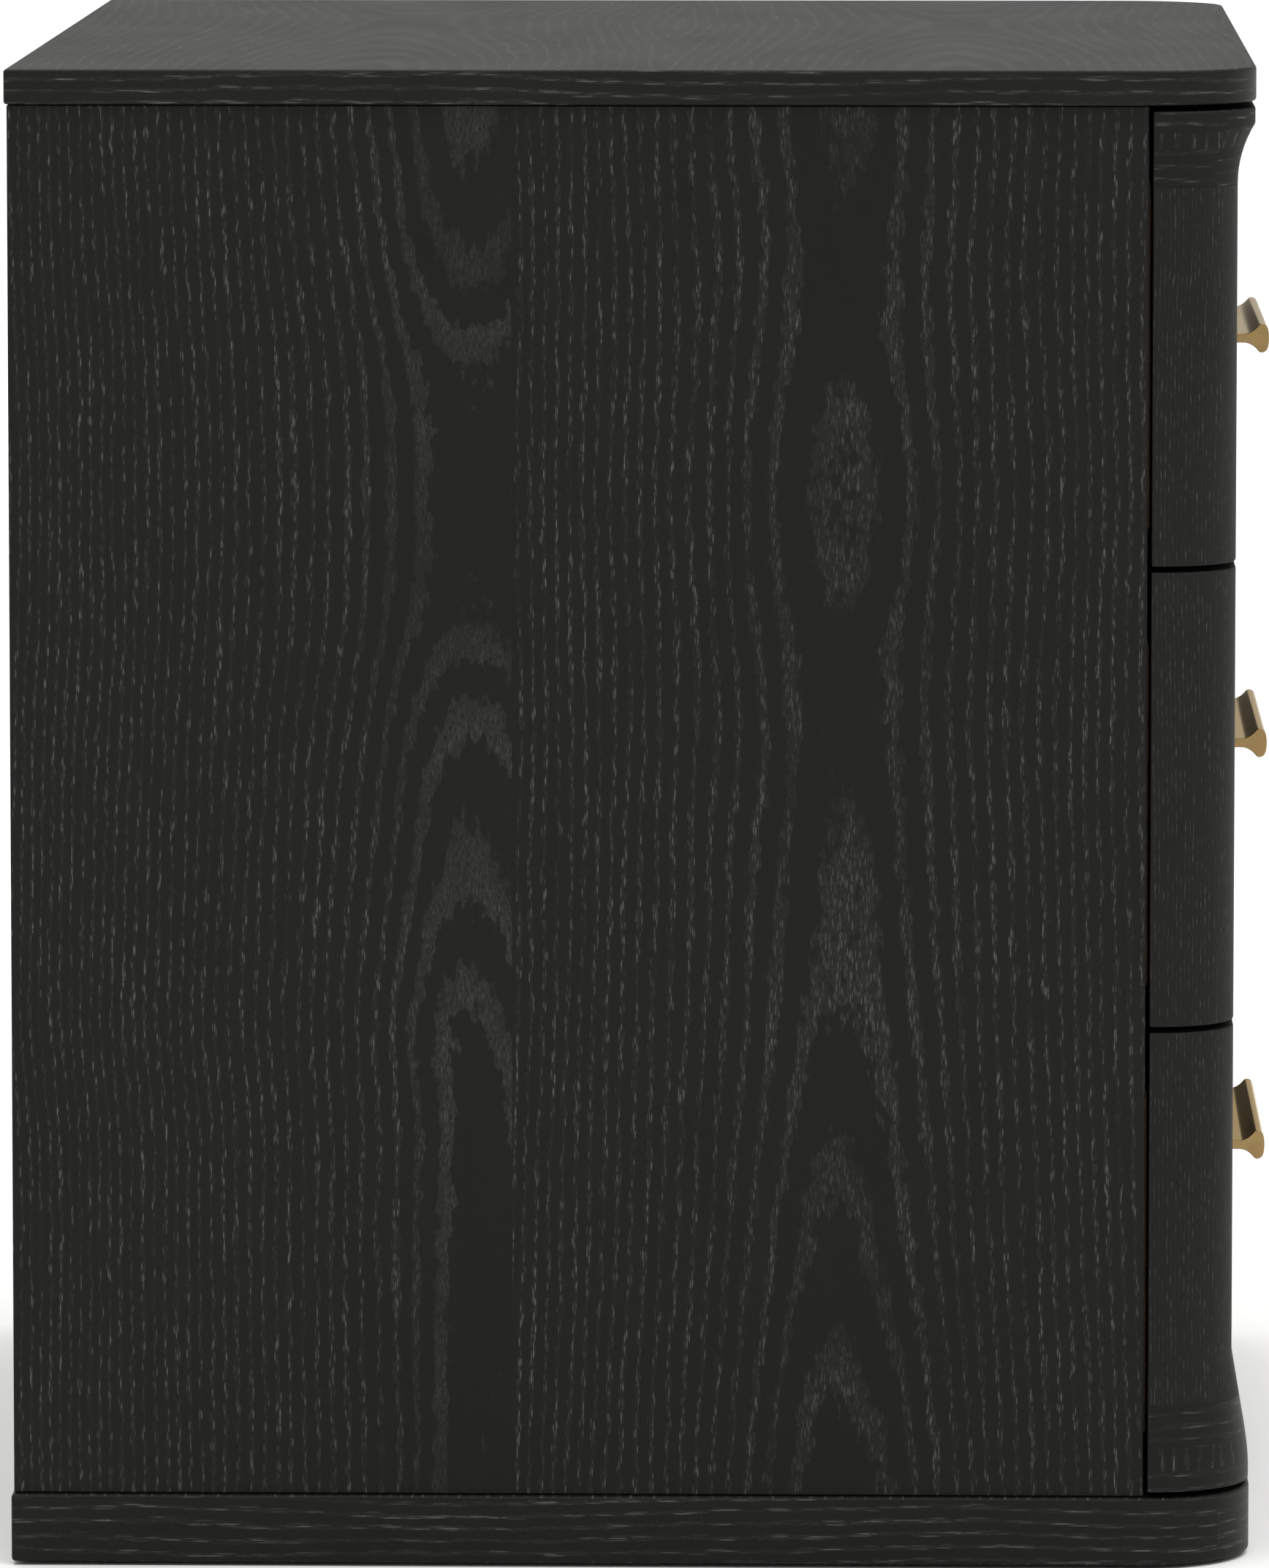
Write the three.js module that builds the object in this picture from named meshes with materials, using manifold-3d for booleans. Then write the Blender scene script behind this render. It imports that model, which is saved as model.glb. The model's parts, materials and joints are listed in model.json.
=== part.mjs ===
// Nightstand with three full-width drawers.
// A veneered cabinet on a low plinth, a thin top with rounded front corners, three thick drawer
// fronts with rounded ends, a coved crown moulding on the top front, a flared base moulding on the
// bottom front, one horizontal bar pull on each drawer, and ball-bearing full-extension slides.
//
// Millimetres. +Z is up, the drawers face -Y, and +X is to the right seen from the front.
// The origin is on the floor, at the middle of the box round the whole piece, pulls included.

import * as THREE from 'three';
import { mergeVertices } from 'three/addons/utils/BufferGeometryUtils.js';
import Module from 'manifold-3d';

const wasm = await Module();
wasm.setup();

// ---------------------------------------------------------------- driving dimensions

const WIDTH = 632;              // top and plinth, side to side
const DEPTH = 500;              // top and plinth, back to front
const CORNER_RADIUS = 46;       // plan radius of their front corners
const GAP = 0.3;                // clearance between pieces that touch

const GLIDE_PROUD = 1.5;        // how far the glides lift the plinth off the floor
const PLINTH_HEIGHT = 27.5;
const CASE_HEIGHT = 560.5;      // plinth to the underside of the top
const TOP_THICKNESS = 14;

const SIDE_INSET = 3;           // side panels and drawer fronts, in from the edge of the top
const BACK_INSET = 1;           // side panels, in from the back edge of the top
const CASE_FRONT_INSET = 43.6;  // front edges of the case, behind the front edge of the top
const PANEL_THICKNESS = 18;
const RAIL_THICKNESS = 15;
const BACK_THICKNESS = 5;
const BACK_REBATE = 8;          // how far the back panel runs into each side panel

const FRONT_BACK_INSET = 41.9;  // back of the drawer fronts, behind the front edge of the top
const FACE_INSET = 7.5;         // face of the drawer fronts, behind the front edge of the top
const FACE_RADIUS = 32;         // plan radius of the drawer fronts' ends
const REVEAL = 2.4;             // gap round each drawer front
const TOP_FRONT_HEIGHT = 181.8; // crown moulding included
const MIDDLE_FRONT_HEIGHT = 183;

const MOULDING_INSET = 0.4;     // widest part of both mouldings, in from the edge of the top
const MOULDING_RADIUS = 41;     // plan radius there
const CROWN_BAND = 6.5;         // flat band at the top of the crown
const COVE_RADIUS = 43;         // hollow below that band
const BASE_HEIGHT = 34.8;       // base moulding
const FLARE_START = 51.3;       // height above the moulding's foot where the flare begins
const FLARE_END = 5.6;          // height above the moulding's foot where it stands upright again

const PULL_LENGTH = 164;
const PULL_REACH = 18.7;        // how far the pulls stand out from the drawer faces
const PULL_NECK = 3.8;          // thickness of the web
const PULL_LIP = 12.4;          // height of the lip
const LOWEST_PULL = 140.2;      // height of the bottom pull's middle
const PULL_PITCH = 170;

const BOX_LENGTH = 400;
const BOX_HEIGHT = 140;
const BOX_BOARD = 12;
const BOX_CLEARANCE = 6;        // under each drawer box
const BOX_BOTTOM = 5;           // thickness of the drawer bottoms
const GROOVE_HEIGHT = 8;        // grooves for the drawer bottoms, above the boards' lower edges
const GROOVE_DEPTH = 6;
const BACK_BOARD_DROP = 10;     // back board's top edge, below the sides' top edges

const SLIDE_SPACE = 12.7;       // room for a slide on each side of a drawer box
const SLIDE_LENGTH = 400;
const SLIDE_SHEET = 1.2;
const SLIDE_SETBACK = 4;        // cabinet members, behind the front edges of the case
const SLIDE_ABOVE_BOX = 50;     // middle of the slides, above the bottom edge of the drawer box
const BALL_ROOM = 1.5;          // running clearance between nested slide members

const PLINTH_RAIL = 70;         // width of the plinth's members
const GLIDE_DIAMETER = 22;
const GLIDE_HEIGHT = 6;
const GLIDE_INSET = [35, 95];   // glide centres, in from the sides and from the front and back

const ARC_STEPS = 12;           // straight steps in each quarter circle

// ---------------------------------------------------------------- derived places
// Inside the cabinet group, y is measured back from the front edge of the top.

const HALF = WIDTH / 2;
const FRONT_Y = (PULL_REACH - FACE_INSET - DEPTH) / 2;
const PLINTH_TOP = GLIDE_PROUD + PLINTH_HEIGHT;
const CASE_TOP = PLINTH_TOP + CASE_HEIGHT;
const SIDE_OUT = HALF - SIDE_INSET;
const SIDE_IN = SIDE_OUT - PANEL_THICKNESS;
const CASE_BACK = DEPTH - BACK_INSET;
const BACK_FRONT = CASE_BACK - BACK_THICKNESS;
const BOX_OUT = SIDE_IN - SLIDE_SPACE;
const BOX_FRONT = FRONT_BACK_INSET + GAP;

const BOTTOM_FRONT_Z = PLINTH_TOP + REVEAL;
const TOP_FRONT_Z = CASE_TOP - REVEAL - TOP_FRONT_HEIGHT;
const MIDDLE_FRONT_Z = TOP_FRONT_Z - REVEAL - MIDDLE_FRONT_HEIGHT;
const BOTTOM_FRONT_HEIGHT = MIDDLE_FRONT_Z - REVEAL - BOTTOM_FRONT_Z;
const FLARE_DEPTH = FACE_INSET - MOULDING_INSET;
const COVE_HEIGHT = Math.sqrt(COVE_RADIUS ** 2 - (COVE_RADIUS - FLARE_DEPTH) ** 2);
const CROWN_HEIGHT = CROWN_BAND + COVE_HEIGHT;

const SIDES = [['left', -1], ['right', 1]];

// ---------------------------------------------------------------- materials

const stainedOak = () => new THREE.MeshStandardMaterial({ color: 0x262625, roughness: 0.5 });
const caseOak = () => new THREE.MeshStandardMaterial({ color: 0x232322, roughness: 0.6 });
const drawerWood = () => new THREE.MeshStandardMaterial({ color: 0xc9ab7e, roughness: 0.65 });
const brass = () => new THREE.MeshStandardMaterial({ color: 0xb08d57, roughness: 0.3, metalness: 1 });
const zinc = () => new THREE.MeshStandardMaterial({ color: 0x9a9da0, roughness: 0.35, metalness: 1 });
const nylon = () => new THREE.MeshStandardMaterial({ color: 0x2b2b2b, roughness: 0.7 });

// ---------------------------------------------------------------- geometry helpers

function add(parent, name, geometry, material, position = [0, 0, 0]) {
  const mesh = new THREE.Mesh(geometry, material);
  mesh.name = name;
  mesh.position.set(...position);
  parent.add(mesh);
  return mesh;
}

// A rectangular board given by its span along each axis.
function board(parent, name, material, [x0, x1], [y0, y1], [z0, z1]) {
  const geometry = new THREE.BoxGeometry(x1 - x0, y1 - y0, z1 - z0);
  add(parent, name, geometry, material, [(x0 + x1) / 2, (y0 + y1) / 2, (z0 + z1) / 2]);
}

// An outline in the XY plane, raised from z0 to z1.
function upright(outline, z0, z1) {
  const geometry = new THREE.ExtrudeGeometry(outline, {
    depth: z1 - z0, bevelEnabled: false, curveSegments: ARC_STEPS / 2,
  });
  return geometry.translate(0, 0, z0);
}

// An outline in the XZ plane, run from y0 back to y1.
function lengthwise(outline, y0, y1) {
  const geometry = new THREE.ExtrudeGeometry(outline, { depth: y1 - y0, bevelEnabled: false });
  return geometry.rotateX(Math.PI / 2).translate(0, y1, 0);
}

// An outline in the YZ plane, run from x0 to x1.
function crosswise(outline, x0, x1) {
  const geometry = new THREE.ExtrudeGeometry(outline, {
    depth: x1 - x0, bevelEnabled: false, curveSegments: ARC_STEPS / 2,
  });
  const turn = new THREE.Matrix4().makeBasis(
    new THREE.Vector3(0, 1, 0), new THREE.Vector3(0, 0, 1), new THREE.Vector3(1, 0, 0));
  return geometry.applyMatrix4(turn).translate(x0, 0, 0);
}

function polygon(points) {
  return new THREE.Shape(points.map(([x, y]) => new THREE.Vector2(x, y)));
}

// The same outline for the right-hand side (+1) or the left-hand side (-1).
function onSide(outline, sign) {
  return polygon(outline.getPoints(ARC_STEPS / 2).map((point) => [sign * point.x, point.y]));
}

function asSolid(geometry) {
  const bare = geometry.clone();
  bare.deleteAttribute('normal');
  bare.deleteAttribute('uv');
  const merged = mergeVertices(bare);
  return new wasm.Manifold(new wasm.Mesh({
    numProp: 3,
    vertProperties: new Float32Array(merged.attributes.position.array),
    triVerts: new Uint32Array(merged.index.array),
  }));
}

function asGeometry(solid) {
  const mesh = solid.getMesh();
  const geometry = new THREE.BufferGeometry();
  geometry.setAttribute('position', new THREE.BufferAttribute(mesh.vertProperties, 3));
  geometry.setIndex(new THREE.BufferAttribute(mesh.triVerts, 1));
  geometry.computeVertexNormals();
  return geometry;
}

// The top's plan: square at the back, rounded at the two front corners.
function topPlan() {
  const centre = HALF - CORNER_RADIUS;
  const plan = new THREE.Shape();
  plan.moveTo(HALF, DEPTH);
  plan.lineTo(-HALF, DEPTH);
  plan.absarc(-centre, CORNER_RADIUS, CORNER_RADIUS, Math.PI, 1.5 * Math.PI);
  plan.absarc(centre, CORNER_RADIUS, CORNER_RADIUS, 1.5 * Math.PI, 2 * Math.PI);
  return plan;
}

// The plan of a drawer front, t = 0 at its plain face and t = 1 at a moulding's widest part.
function frontPlan(t) {
  const side = HALF - THREE.MathUtils.lerp(SIDE_INSET, MOULDING_INSET, t);
  const face = THREE.MathUtils.lerp(FACE_INSET, MOULDING_INSET, t);
  const radius = THREE.MathUtils.lerp(FACE_RADIUS, MOULDING_RADIUS, t);
  const points = [[side, FRONT_BACK_INSET], [-side, FRONT_BACK_INSET]];
  for (const [centre, start] of [[radius - side, Math.PI], [side - radius, 1.5 * Math.PI]]) {
    for (let step = 0; step <= ARC_STEPS; step += 1) {
      const angle = start + (step / ARC_STEPS) * Math.PI / 2;
      points.push([centre + radius * Math.cos(angle), face + radius + radius * Math.sin(angle)]);
    }
  }
  return points;
}

// A closed solid through the plans of a drawer front at rising heights: levels are [z, t].
function frontLoft(levels) {
  const rings = levels.map(([z, t]) => frontPlan(t).map(([x, y]) => [x, y, z]));
  const count = rings[0].length;
  const index = [];
  for (let level = 0; level + 1 < rings.length; level += 1) {
    for (let i = 0; i < count; i += 1) {
      const a = level * count + i;
      const b = level * count + (i + 1) % count;
      index.push(a, b, b + count, a, b + count, a + count);
    }
  }
  const last = (rings.length - 1) * count;
  for (let i = 1; i + 1 < count; i += 1) {
    index.push(0, i + 1, i);
    index.push(last, last + i, last + i + 1);
  }
  const geometry = new THREE.BufferGeometry();
  geometry.setAttribute('position', new THREE.Float32BufferAttribute(rings.flat(2), 3));
  geometry.setIndex(index);
  geometry.computeVertexNormals();
  return geometry;
}

// ---------------------------------------------------------------- plinth and glides

// Front member of the plinth: it carries half of each rounded corner and is mitred at the ends.
function plinthFrontPlan() {
  const centre = HALF - CORNER_RADIUS;
  const inner = HALF - PLINTH_RAIL - GAP / 2;
  const cut = GAP / 2 / CORNER_RADIUS;
  const plan = new THREE.Shape();
  plan.moveTo(inner, PLINTH_RAIL);
  plan.lineTo(-inner, PLINTH_RAIL);
  plan.absarc(-centre, CORNER_RADIUS, CORNER_RADIUS, 1.25 * Math.PI + cut, 1.5 * Math.PI);
  plan.absarc(centre, CORNER_RADIUS, CORNER_RADIUS, 1.5 * Math.PI, 1.75 * Math.PI - cut);
  return plan;
}

// Right-hand member of the plinth: the other half of the corner, then straight to the back.
function plinthSidePlan() {
  const centre = HALF - CORNER_RADIUS;
  const cut = GAP / 2 / CORNER_RADIUS;
  const plan = new THREE.Shape();
  plan.moveTo(HALF, DEPTH);
  plan.lineTo(HALF - PLINTH_RAIL, DEPTH);
  plan.lineTo(HALF - PLINTH_RAIL, PLINTH_RAIL + GAP / 2);
  plan.absarc(centre, CORNER_RADIUS, CORNER_RADIUS, 1.75 * Math.PI + cut, 2 * Math.PI);
  return plan;
}

const GLIDE_PLACES = [
  ['front', GLIDE_INSET[1]],
  ['back', DEPTH - GLIDE_INSET[1]],
];

function glideDisc(diameter, height) {
  return new THREE.CylinderGeometry(diameter / 2, diameter / 2, height, 2 * ARC_STEPS)
    .rotateX(Math.PI / 2);
}

// A side member with a round pocket underneath for each of its glides.
function plinthSide(sign) {
  let side = asSolid(upright(onSide(plinthSidePlan(), sign), GLIDE_PROUD, PLINTH_TOP));
  const pocketTop = GLIDE_HEIGHT + GAP;
  for (const [, y] of GLIDE_PLACES) {
    const pocket = glideDisc(GLIDE_DIAMETER + 2 * GAP, 2 * pocketTop);
    side = side.subtract(asSolid(pocket.translate(sign * (HALF - GLIDE_INSET[0]), y, 0)));
  }
  return asGeometry(side);
}

function addPlinth(cabinet) {
  add(cabinet, 'plinth_front', upright(plinthFrontPlan(), GLIDE_PROUD, PLINTH_TOP), stainedOak());
  const reach = HALF - PLINTH_RAIL - GAP;
  board(cabinet, 'plinth_back', stainedOak(),
    [-reach, reach], [DEPTH - PLINTH_RAIL, DEPTH], [GLIDE_PROUD, PLINTH_TOP]);
  for (const [hand, sign] of SIDES) {
    add(cabinet, `plinth_${hand}`, plinthSide(sign), stainedOak());
    for (const [end, y] of GLIDE_PLACES) {
      add(cabinet, `glide_${end}_${hand}`, glideDisc(GLIDE_DIAMETER, GLIDE_HEIGHT), nylon(),
        [sign * (HALF - GLIDE_INSET[0]), y, GLIDE_HEIGHT / 2]);
    }
  }
}

// ---------------------------------------------------------------- case

// Plan of the right-hand side panel, with the rebate that takes the back panel.
function sidePanelPlan() {
  const rebateX = SIDE_IN + BACK_REBATE + GAP;
  const rebateY = BACK_FRONT - GAP;
  return polygon([
    [SIDE_IN, CASE_FRONT_INSET], [SIDE_OUT, CASE_FRONT_INSET], [SIDE_OUT, CASE_BACK],
    [rebateX, CASE_BACK], [rebateX, rebateY], [SIDE_IN, rebateY],
  ]);
}

function addCase(cabinet) {
  const low = PLINTH_TOP + GAP;
  const high = CASE_TOP - GAP;
  const reach = SIDE_IN - GAP;
  const inside = [CASE_FRONT_INSET, BACK_FRONT - GAP];
  const railDepth = 70;
  const frontRail = [CASE_FRONT_INSET, CASE_FRONT_INSET + railDepth];
  const backRail = [inside[1] - railDepth, inside[1]];

  add(cabinet, 'top_panel', upright(topPlan(), CASE_TOP, CASE_TOP + TOP_THICKNESS), stainedOak());
  for (const [hand, sign] of SIDES) {
    const plan = onSide(sidePanelPlan(), sign);
    add(cabinet, `${hand}_side_panel`, upright(plan, low, high), stainedOak());
  }
  const backReach = SIDE_IN + BACK_REBATE;
  board(cabinet, 'back_panel', caseOak(),
    [-backReach, backReach], [BACK_FRONT, CASE_BACK], [low, high]);
  board(cabinet, 'bottom_panel', caseOak(), [-reach, reach], inside, [low, low + RAIL_THICKNESS]);
  board(cabinet, 'top_front_rail', caseOak(), [-reach, reach], frontRail, [high - RAIL_THICKNESS, high]);
  board(cabinet, 'top_back_rail', caseOak(), [-reach, reach], backRail, [high - RAIL_THICKNESS, high]);
  for (const [name, frontZ] of [['lower', MIDDLE_FRONT_Z], ['upper', TOP_FRONT_Z]]) {
    const middle = frontZ - REVEAL / 2;
    board(cabinet, `${name}_divider_rail`, caseOak(), [-reach, reach], frontRail,
      [middle - RAIL_THICKNESS / 2, middle + RAIL_THICKNESS / 2]);
  }
}

// ---------------------------------------------------------------- mouldings and drawer fronts

// How far the bottom front has flared out, 0 to 1, at a height above the base moulding's foot.
const flareCurve = new THREE.CubicBezierCurve(
  new THREE.Vector2(0, FLARE_START), new THREE.Vector2(0.22, FLARE_START - 10.6),
  new THREE.Vector2(0.98, FLARE_END + 13), new THREE.Vector2(1, FLARE_END)).getPoints(48);

function flareAt(height) {
  const next = flareCurve.findIndex((point) => point.y < height);
  if (next <= 0) return next < 0 ? 1 : 0;
  const [above, below] = [flareCurve[next - 1], flareCurve[next]];
  return THREE.MathUtils.mapLinear(height, above.y, below.y, above.x, below.x);
}

function evenly(low, high, steps) {
  return Array.from({ length: steps + 1 }, (_, step) => low + (step / steps) * (high - low));
}

function baseMoulding() {
  const heights = [0, ...evenly(FLARE_END, BASE_HEIGHT, 8)];
  return frontLoft(heights.map((height) => [height, flareAt(height)]));
}

// The bottom front stands on the base moulding and starts with the rest of its flare.
function bottomFront() {
  const flare = evenly(BASE_HEIGHT + GAP, FLARE_START, 5).map((height) => [height, flareAt(height)]);
  return frontLoft([...flare, [BOTTOM_FRONT_HEIGHT, 0]]);
}

// The crown's hollow is an arc that leaves the face upright and ends under the flat band.
function crownMoulding() {
  const hollow = evenly(0, COVE_HEIGHT, 8).map((rise) => {
    const depth = COVE_RADIUS - Math.sqrt(COVE_RADIUS ** 2 - rise ** 2);
    return [rise, depth / FLARE_DEPTH];
  });
  return frontLoft([...hollow, [CROWN_HEIGHT, 1]]);
}

// ---------------------------------------------------------------- pulls

// Section of a pull, out (-y) from the drawer face: a thin web that widens into a rounded lip.
function pullSection() {
  const neck = PULL_NECK / 2;
  const lip = PULL_LIP / 2;
  const webEnd = 0.52 * PULL_REACH;
  const tip = 0.86 * PULL_REACH;
  const section = new THREE.Shape();
  section.moveTo(-GAP, -neck);
  section.lineTo(-GAP, neck);
  section.lineTo(-webEnd, neck);
  section.quadraticCurveTo(-0.66 * PULL_REACH, 1.1 * neck, 0.8 - tip, lip - 0.4);
  section.quadraticCurveTo(-tip, lip + 0.2, -0.93 * PULL_REACH, lip - 1.1);
  section.quadraticCurveTo(-PULL_REACH, 0.6 * lip, -PULL_REACH, 0);
  section.quadraticCurveTo(-PULL_REACH, -0.6 * lip, -0.93 * PULL_REACH, 1.1 - lip);
  section.quadraticCurveTo(-tip, -lip - 0.2, 0.8 - tip, 0.4 - lip);
  section.quadraticCurveTo(-0.66 * PULL_REACH, -1.1 * neck, -webEnd, -neck);
  return section;
}

// ---------------------------------------------------------------- drawers and slides

// Section of a grooved board: span across its thickness, groove opening towards the inside.
function groovedSection(inner, outer, height) {
  const groove = inner + Math.sign(outer - inner) * GROOVE_DEPTH;
  const grooveTop = GROOVE_HEIGHT + BOX_BOTTOM + 2 * GAP;
  return polygon([
    [outer, 0], [outer, height], [inner, height], [inner, grooveTop],
    [groove, grooveTop], [groove, GROOVE_HEIGHT], [inner, GROOVE_HEIGHT], [inner, 0],
  ]);
}

function addDrawerBox(drawer, name) {
  const inside = BOX_OUT - BOX_BOARD;
  const boxBack = BOX_FRONT + BOX_LENGTH;
  const panelLow = GROOVE_HEIGHT + GAP;
  const panelHigh = panelLow + BOX_BOTTOM;
  for (const [hand, sign] of SIDES) {
    const section = groovedSection(sign * inside, sign * BOX_OUT, BOX_HEIGHT);
    add(drawer, `${name}_drawer_box_${hand}`, lengthwise(section, BOX_FRONT, boxBack), drawerWood());
  }
  const across = [GAP - inside, inside - GAP];
  const frontSection = groovedSection(BOX_FRONT + BOX_BOARD, BOX_FRONT, BOX_HEIGHT);
  add(drawer, `${name}_drawer_box_front`, crosswise(frontSection, ...across), drawerWood());
  board(drawer, `${name}_drawer_box_back`, drawerWood(), across,
    [boxBack - BOX_BOARD, boxBack], [panelHigh + GAP, BOX_HEIGHT - BACK_BOARD_DROP]);
  const reach = inside + GROOVE_DEPTH - GAP;
  board(drawer, `${name}_drawer_box_bottom`, drawerWood(), [-reach, reach],
    [BOX_FRONT + BOX_BOARD - GROOVE_DEPTH + GAP, boxBack], [panelLow, panelHigh]);
}

// Section of a slide member: a channel whose web is at x = web and whose flanges reach x = tip.
function channelSection(web, tip, halfHeight) {
  const inner = web + Math.sign(tip - web) * SLIDE_SHEET;
  const low = SLIDE_SHEET - halfHeight;
  const high = halfHeight - SLIDE_SHEET;
  return polygon([
    [web, -halfHeight], [tip, -halfHeight], [tip, low], [inner, low],
    [inner, high], [tip, high], [tip, halfHeight], [web, halfHeight],
  ]);
}

// The three nested members of each slide, from the side panel in to the drawer box.
const CABINET_MEMBER_HALF = 22.5;
const MIDDLE_MEMBER_HALF = CABINET_MEMBER_HALF - SLIDE_SHEET - BALL_ROOM;
const DRAWER_MEMBER_HALF = MIDDLE_MEMBER_HALF - SLIDE_SHEET - BALL_ROOM;
const SLIDE_FRONT = CASE_FRONT_INSET + SLIDE_SETBACK;
const SLIDE_MEMBERS = [
  {
    name: 'cabinet_member', web: SIDE_IN - GAP, tip: BOX_OUT + 2.6,
    half: CABINET_MEMBER_HALF, from: SLIDE_FRONT, length: SLIDE_LENGTH,
  },
  {
    name: 'middle_member', web: SIDE_IN - GAP - SLIDE_SHEET - 0.7, tip: BOX_OUT + 1.8,
    half: MIDDLE_MEMBER_HALF, from: SLIDE_FRONT + 6, length: SLIDE_LENGTH - 20,
  },
  {
    name: 'drawer_member', web: BOX_OUT + GAP, tip: SIDE_IN - GAP - 2 * SLIDE_SHEET - 1.4,
    half: DRAWER_MEMBER_HALF, from: BOX_FRONT + 3, length: SLIDE_LENGTH - 6,
  },
];

function addSlides(drawer, name) {
  for (const [hand, sign] of SIDES) {
    for (const member of SLIDE_MEMBERS) {
      const section = channelSection(sign * member.web, sign * member.tip, member.half);
      const rail = lengthwise(section, member.from, member.from + member.length);
      add(drawer, `${name}_slide_${hand}_${member.name}`, rail, zinc(), [0, 0, SLIDE_ABOVE_BOX]);
    }
  }
}

// Each drawer: its front, where that front starts, and what the box has to clear below it.
const DRAWERS = [
  {
    name: 'bottom', front: bottomFront(), frontZ: BOTTOM_FRONT_Z,
    floorZ: PLINTH_TOP + GAP + RAIL_THICKNESS, pullZ: LOWEST_PULL,
  },
  {
    name: 'middle', front: frontLoft([[0, 0], [MIDDLE_FRONT_HEIGHT, 0]]), frontZ: MIDDLE_FRONT_Z,
    floorZ: MIDDLE_FRONT_Z + (RAIL_THICKNESS - REVEAL) / 2, pullZ: LOWEST_PULL + PULL_PITCH,
  },
  {
    name: 'top', front: frontLoft([[0, 0], [TOP_FRONT_HEIGHT - CROWN_HEIGHT - GAP, 0]]),
    frontZ: TOP_FRONT_Z, floorZ: TOP_FRONT_Z + (RAIL_THICKNESS - REVEAL) / 2,
    pullZ: LOWEST_PULL + 2 * PULL_PITCH,
  },
];

function addDrawer(cabinet, { name, front, frontZ, floorZ, pullZ }) {
  add(cabinet, `${name}_drawer_front`, front, stainedOak(), [0, 0, frontZ]);
  add(cabinet, `${name}_pull`, crosswise(pullSection(), -PULL_LENGTH / 2, PULL_LENGTH / 2), brass(),
    [0, FACE_INSET, pullZ]);
  const drawer = new THREE.Group();
  drawer.position.z = floorZ + BOX_CLEARANCE;
  addDrawerBox(drawer, name);
  addSlides(drawer, name);
  cabinet.add(drawer);
}

// ---------------------------------------------------------------- assembly

const cabinet = new THREE.Group();
cabinet.position.y = FRONT_Y;
addPlinth(cabinet);
addCase(cabinet);
DRAWERS.forEach((drawer) => addDrawer(cabinet, drawer));
add(cabinet, 'base_moulding', baseMoulding(), stainedOak(), [0, 0, BOTTOM_FRONT_Z]);
add(cabinet, 'crown_moulding', crownMoulding(), stainedOak(), [0, 0, CASE_TOP - REVEAL - CROWN_HEIGHT]);

const nightstand = new THREE.Group();
nightstand.name = 'nightstand';
nightstand.add(cabinet);

export default nightstand;
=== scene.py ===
"""The looks of the nightstand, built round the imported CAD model.

Lengths are metres in the frame's axes: +Z is up, the drawers face -Y, and the origin is on the
floor. Grain maps and grain sizes are in millimetres. The camera looks at the left side (-X), with
the drawer fronts at the right of the picture.
"""

import json
import math

import bmesh
import bpy
from mathutils import Matrix, Vector

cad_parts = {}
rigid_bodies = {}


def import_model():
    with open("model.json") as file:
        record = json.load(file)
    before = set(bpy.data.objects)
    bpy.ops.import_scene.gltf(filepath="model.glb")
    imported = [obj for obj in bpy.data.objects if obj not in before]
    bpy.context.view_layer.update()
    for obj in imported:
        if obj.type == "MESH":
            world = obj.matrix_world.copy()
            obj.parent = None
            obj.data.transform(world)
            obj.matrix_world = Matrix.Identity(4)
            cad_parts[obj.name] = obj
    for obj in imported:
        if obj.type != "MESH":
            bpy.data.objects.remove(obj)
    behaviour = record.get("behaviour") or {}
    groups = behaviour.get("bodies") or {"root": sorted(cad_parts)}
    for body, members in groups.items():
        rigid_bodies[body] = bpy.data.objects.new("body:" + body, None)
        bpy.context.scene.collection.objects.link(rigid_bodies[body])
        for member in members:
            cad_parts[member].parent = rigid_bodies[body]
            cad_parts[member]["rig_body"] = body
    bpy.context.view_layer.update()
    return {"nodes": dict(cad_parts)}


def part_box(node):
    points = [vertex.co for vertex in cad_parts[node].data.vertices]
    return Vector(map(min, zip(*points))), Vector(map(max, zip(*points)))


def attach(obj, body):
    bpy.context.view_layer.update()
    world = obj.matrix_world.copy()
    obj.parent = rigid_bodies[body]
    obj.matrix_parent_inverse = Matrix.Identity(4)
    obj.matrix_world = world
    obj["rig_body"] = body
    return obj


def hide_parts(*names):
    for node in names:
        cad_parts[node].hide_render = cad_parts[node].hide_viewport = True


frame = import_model()

MM = 0.001
AXES = {"X": 0, "Y": 1, "Z": 2}
DRAWERS = ("top", "middle", "bottom")
SIDES = ("left", "right")

top_low, top_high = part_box("top_panel")
BACK = top_high.y
WIDTH = (top_high.x - top_low.x) / MM

# Points closer than SAME_POINT are one point, and faces within FLAT of each other are one face.
SAME_POINT = 0.002 * MM
FLAT = math.radians(0.6)

# Edges from SHARP up are rounded. Afterwards, those from SHADED_SHARP up still shade as an edge.
SHARP = math.radians(25)
SHADED_SHARP = math.radians(40)

# How far a glued face moves out to close its joint.
JOINT_REACH = 0.13 * MM

# How much of each edge is rounded off, in millimetres.
ARRIS = {
    "top": 1.2,
    "side": 0.6,
    "plinth": 1.5,
    "glide": 0.8,
    "case_board": 0.5,
    "front": 0.7,
    "glued": 0.15,
    "pull": 0.2,
    "box_side": 1.0,
    "box_board": 0.8,
    "slide": 0.35,
}

# Fittings, in millimetres.
PULL_NECK = 3.8
PULL_SCREW_SPACING = 128.0
PULL_SCREW = {"radius": 3.8, "height": 2.2}
BACK_SCREW_EDGE = 4.5
BACK_SCREW_ROWS = 5
BACK_SCREW_COLUMNS = 4
BACK_SCREW = {"radius": 2.9, "height": 0.9}
SLIDE_SHEET = 1.2
SLIDE_SCREW_RADIUS = 3.2
SLIDE_SCREW_HEIGHT = {"drawer_member": 1.6, "cabinet_member": 0.5}

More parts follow.
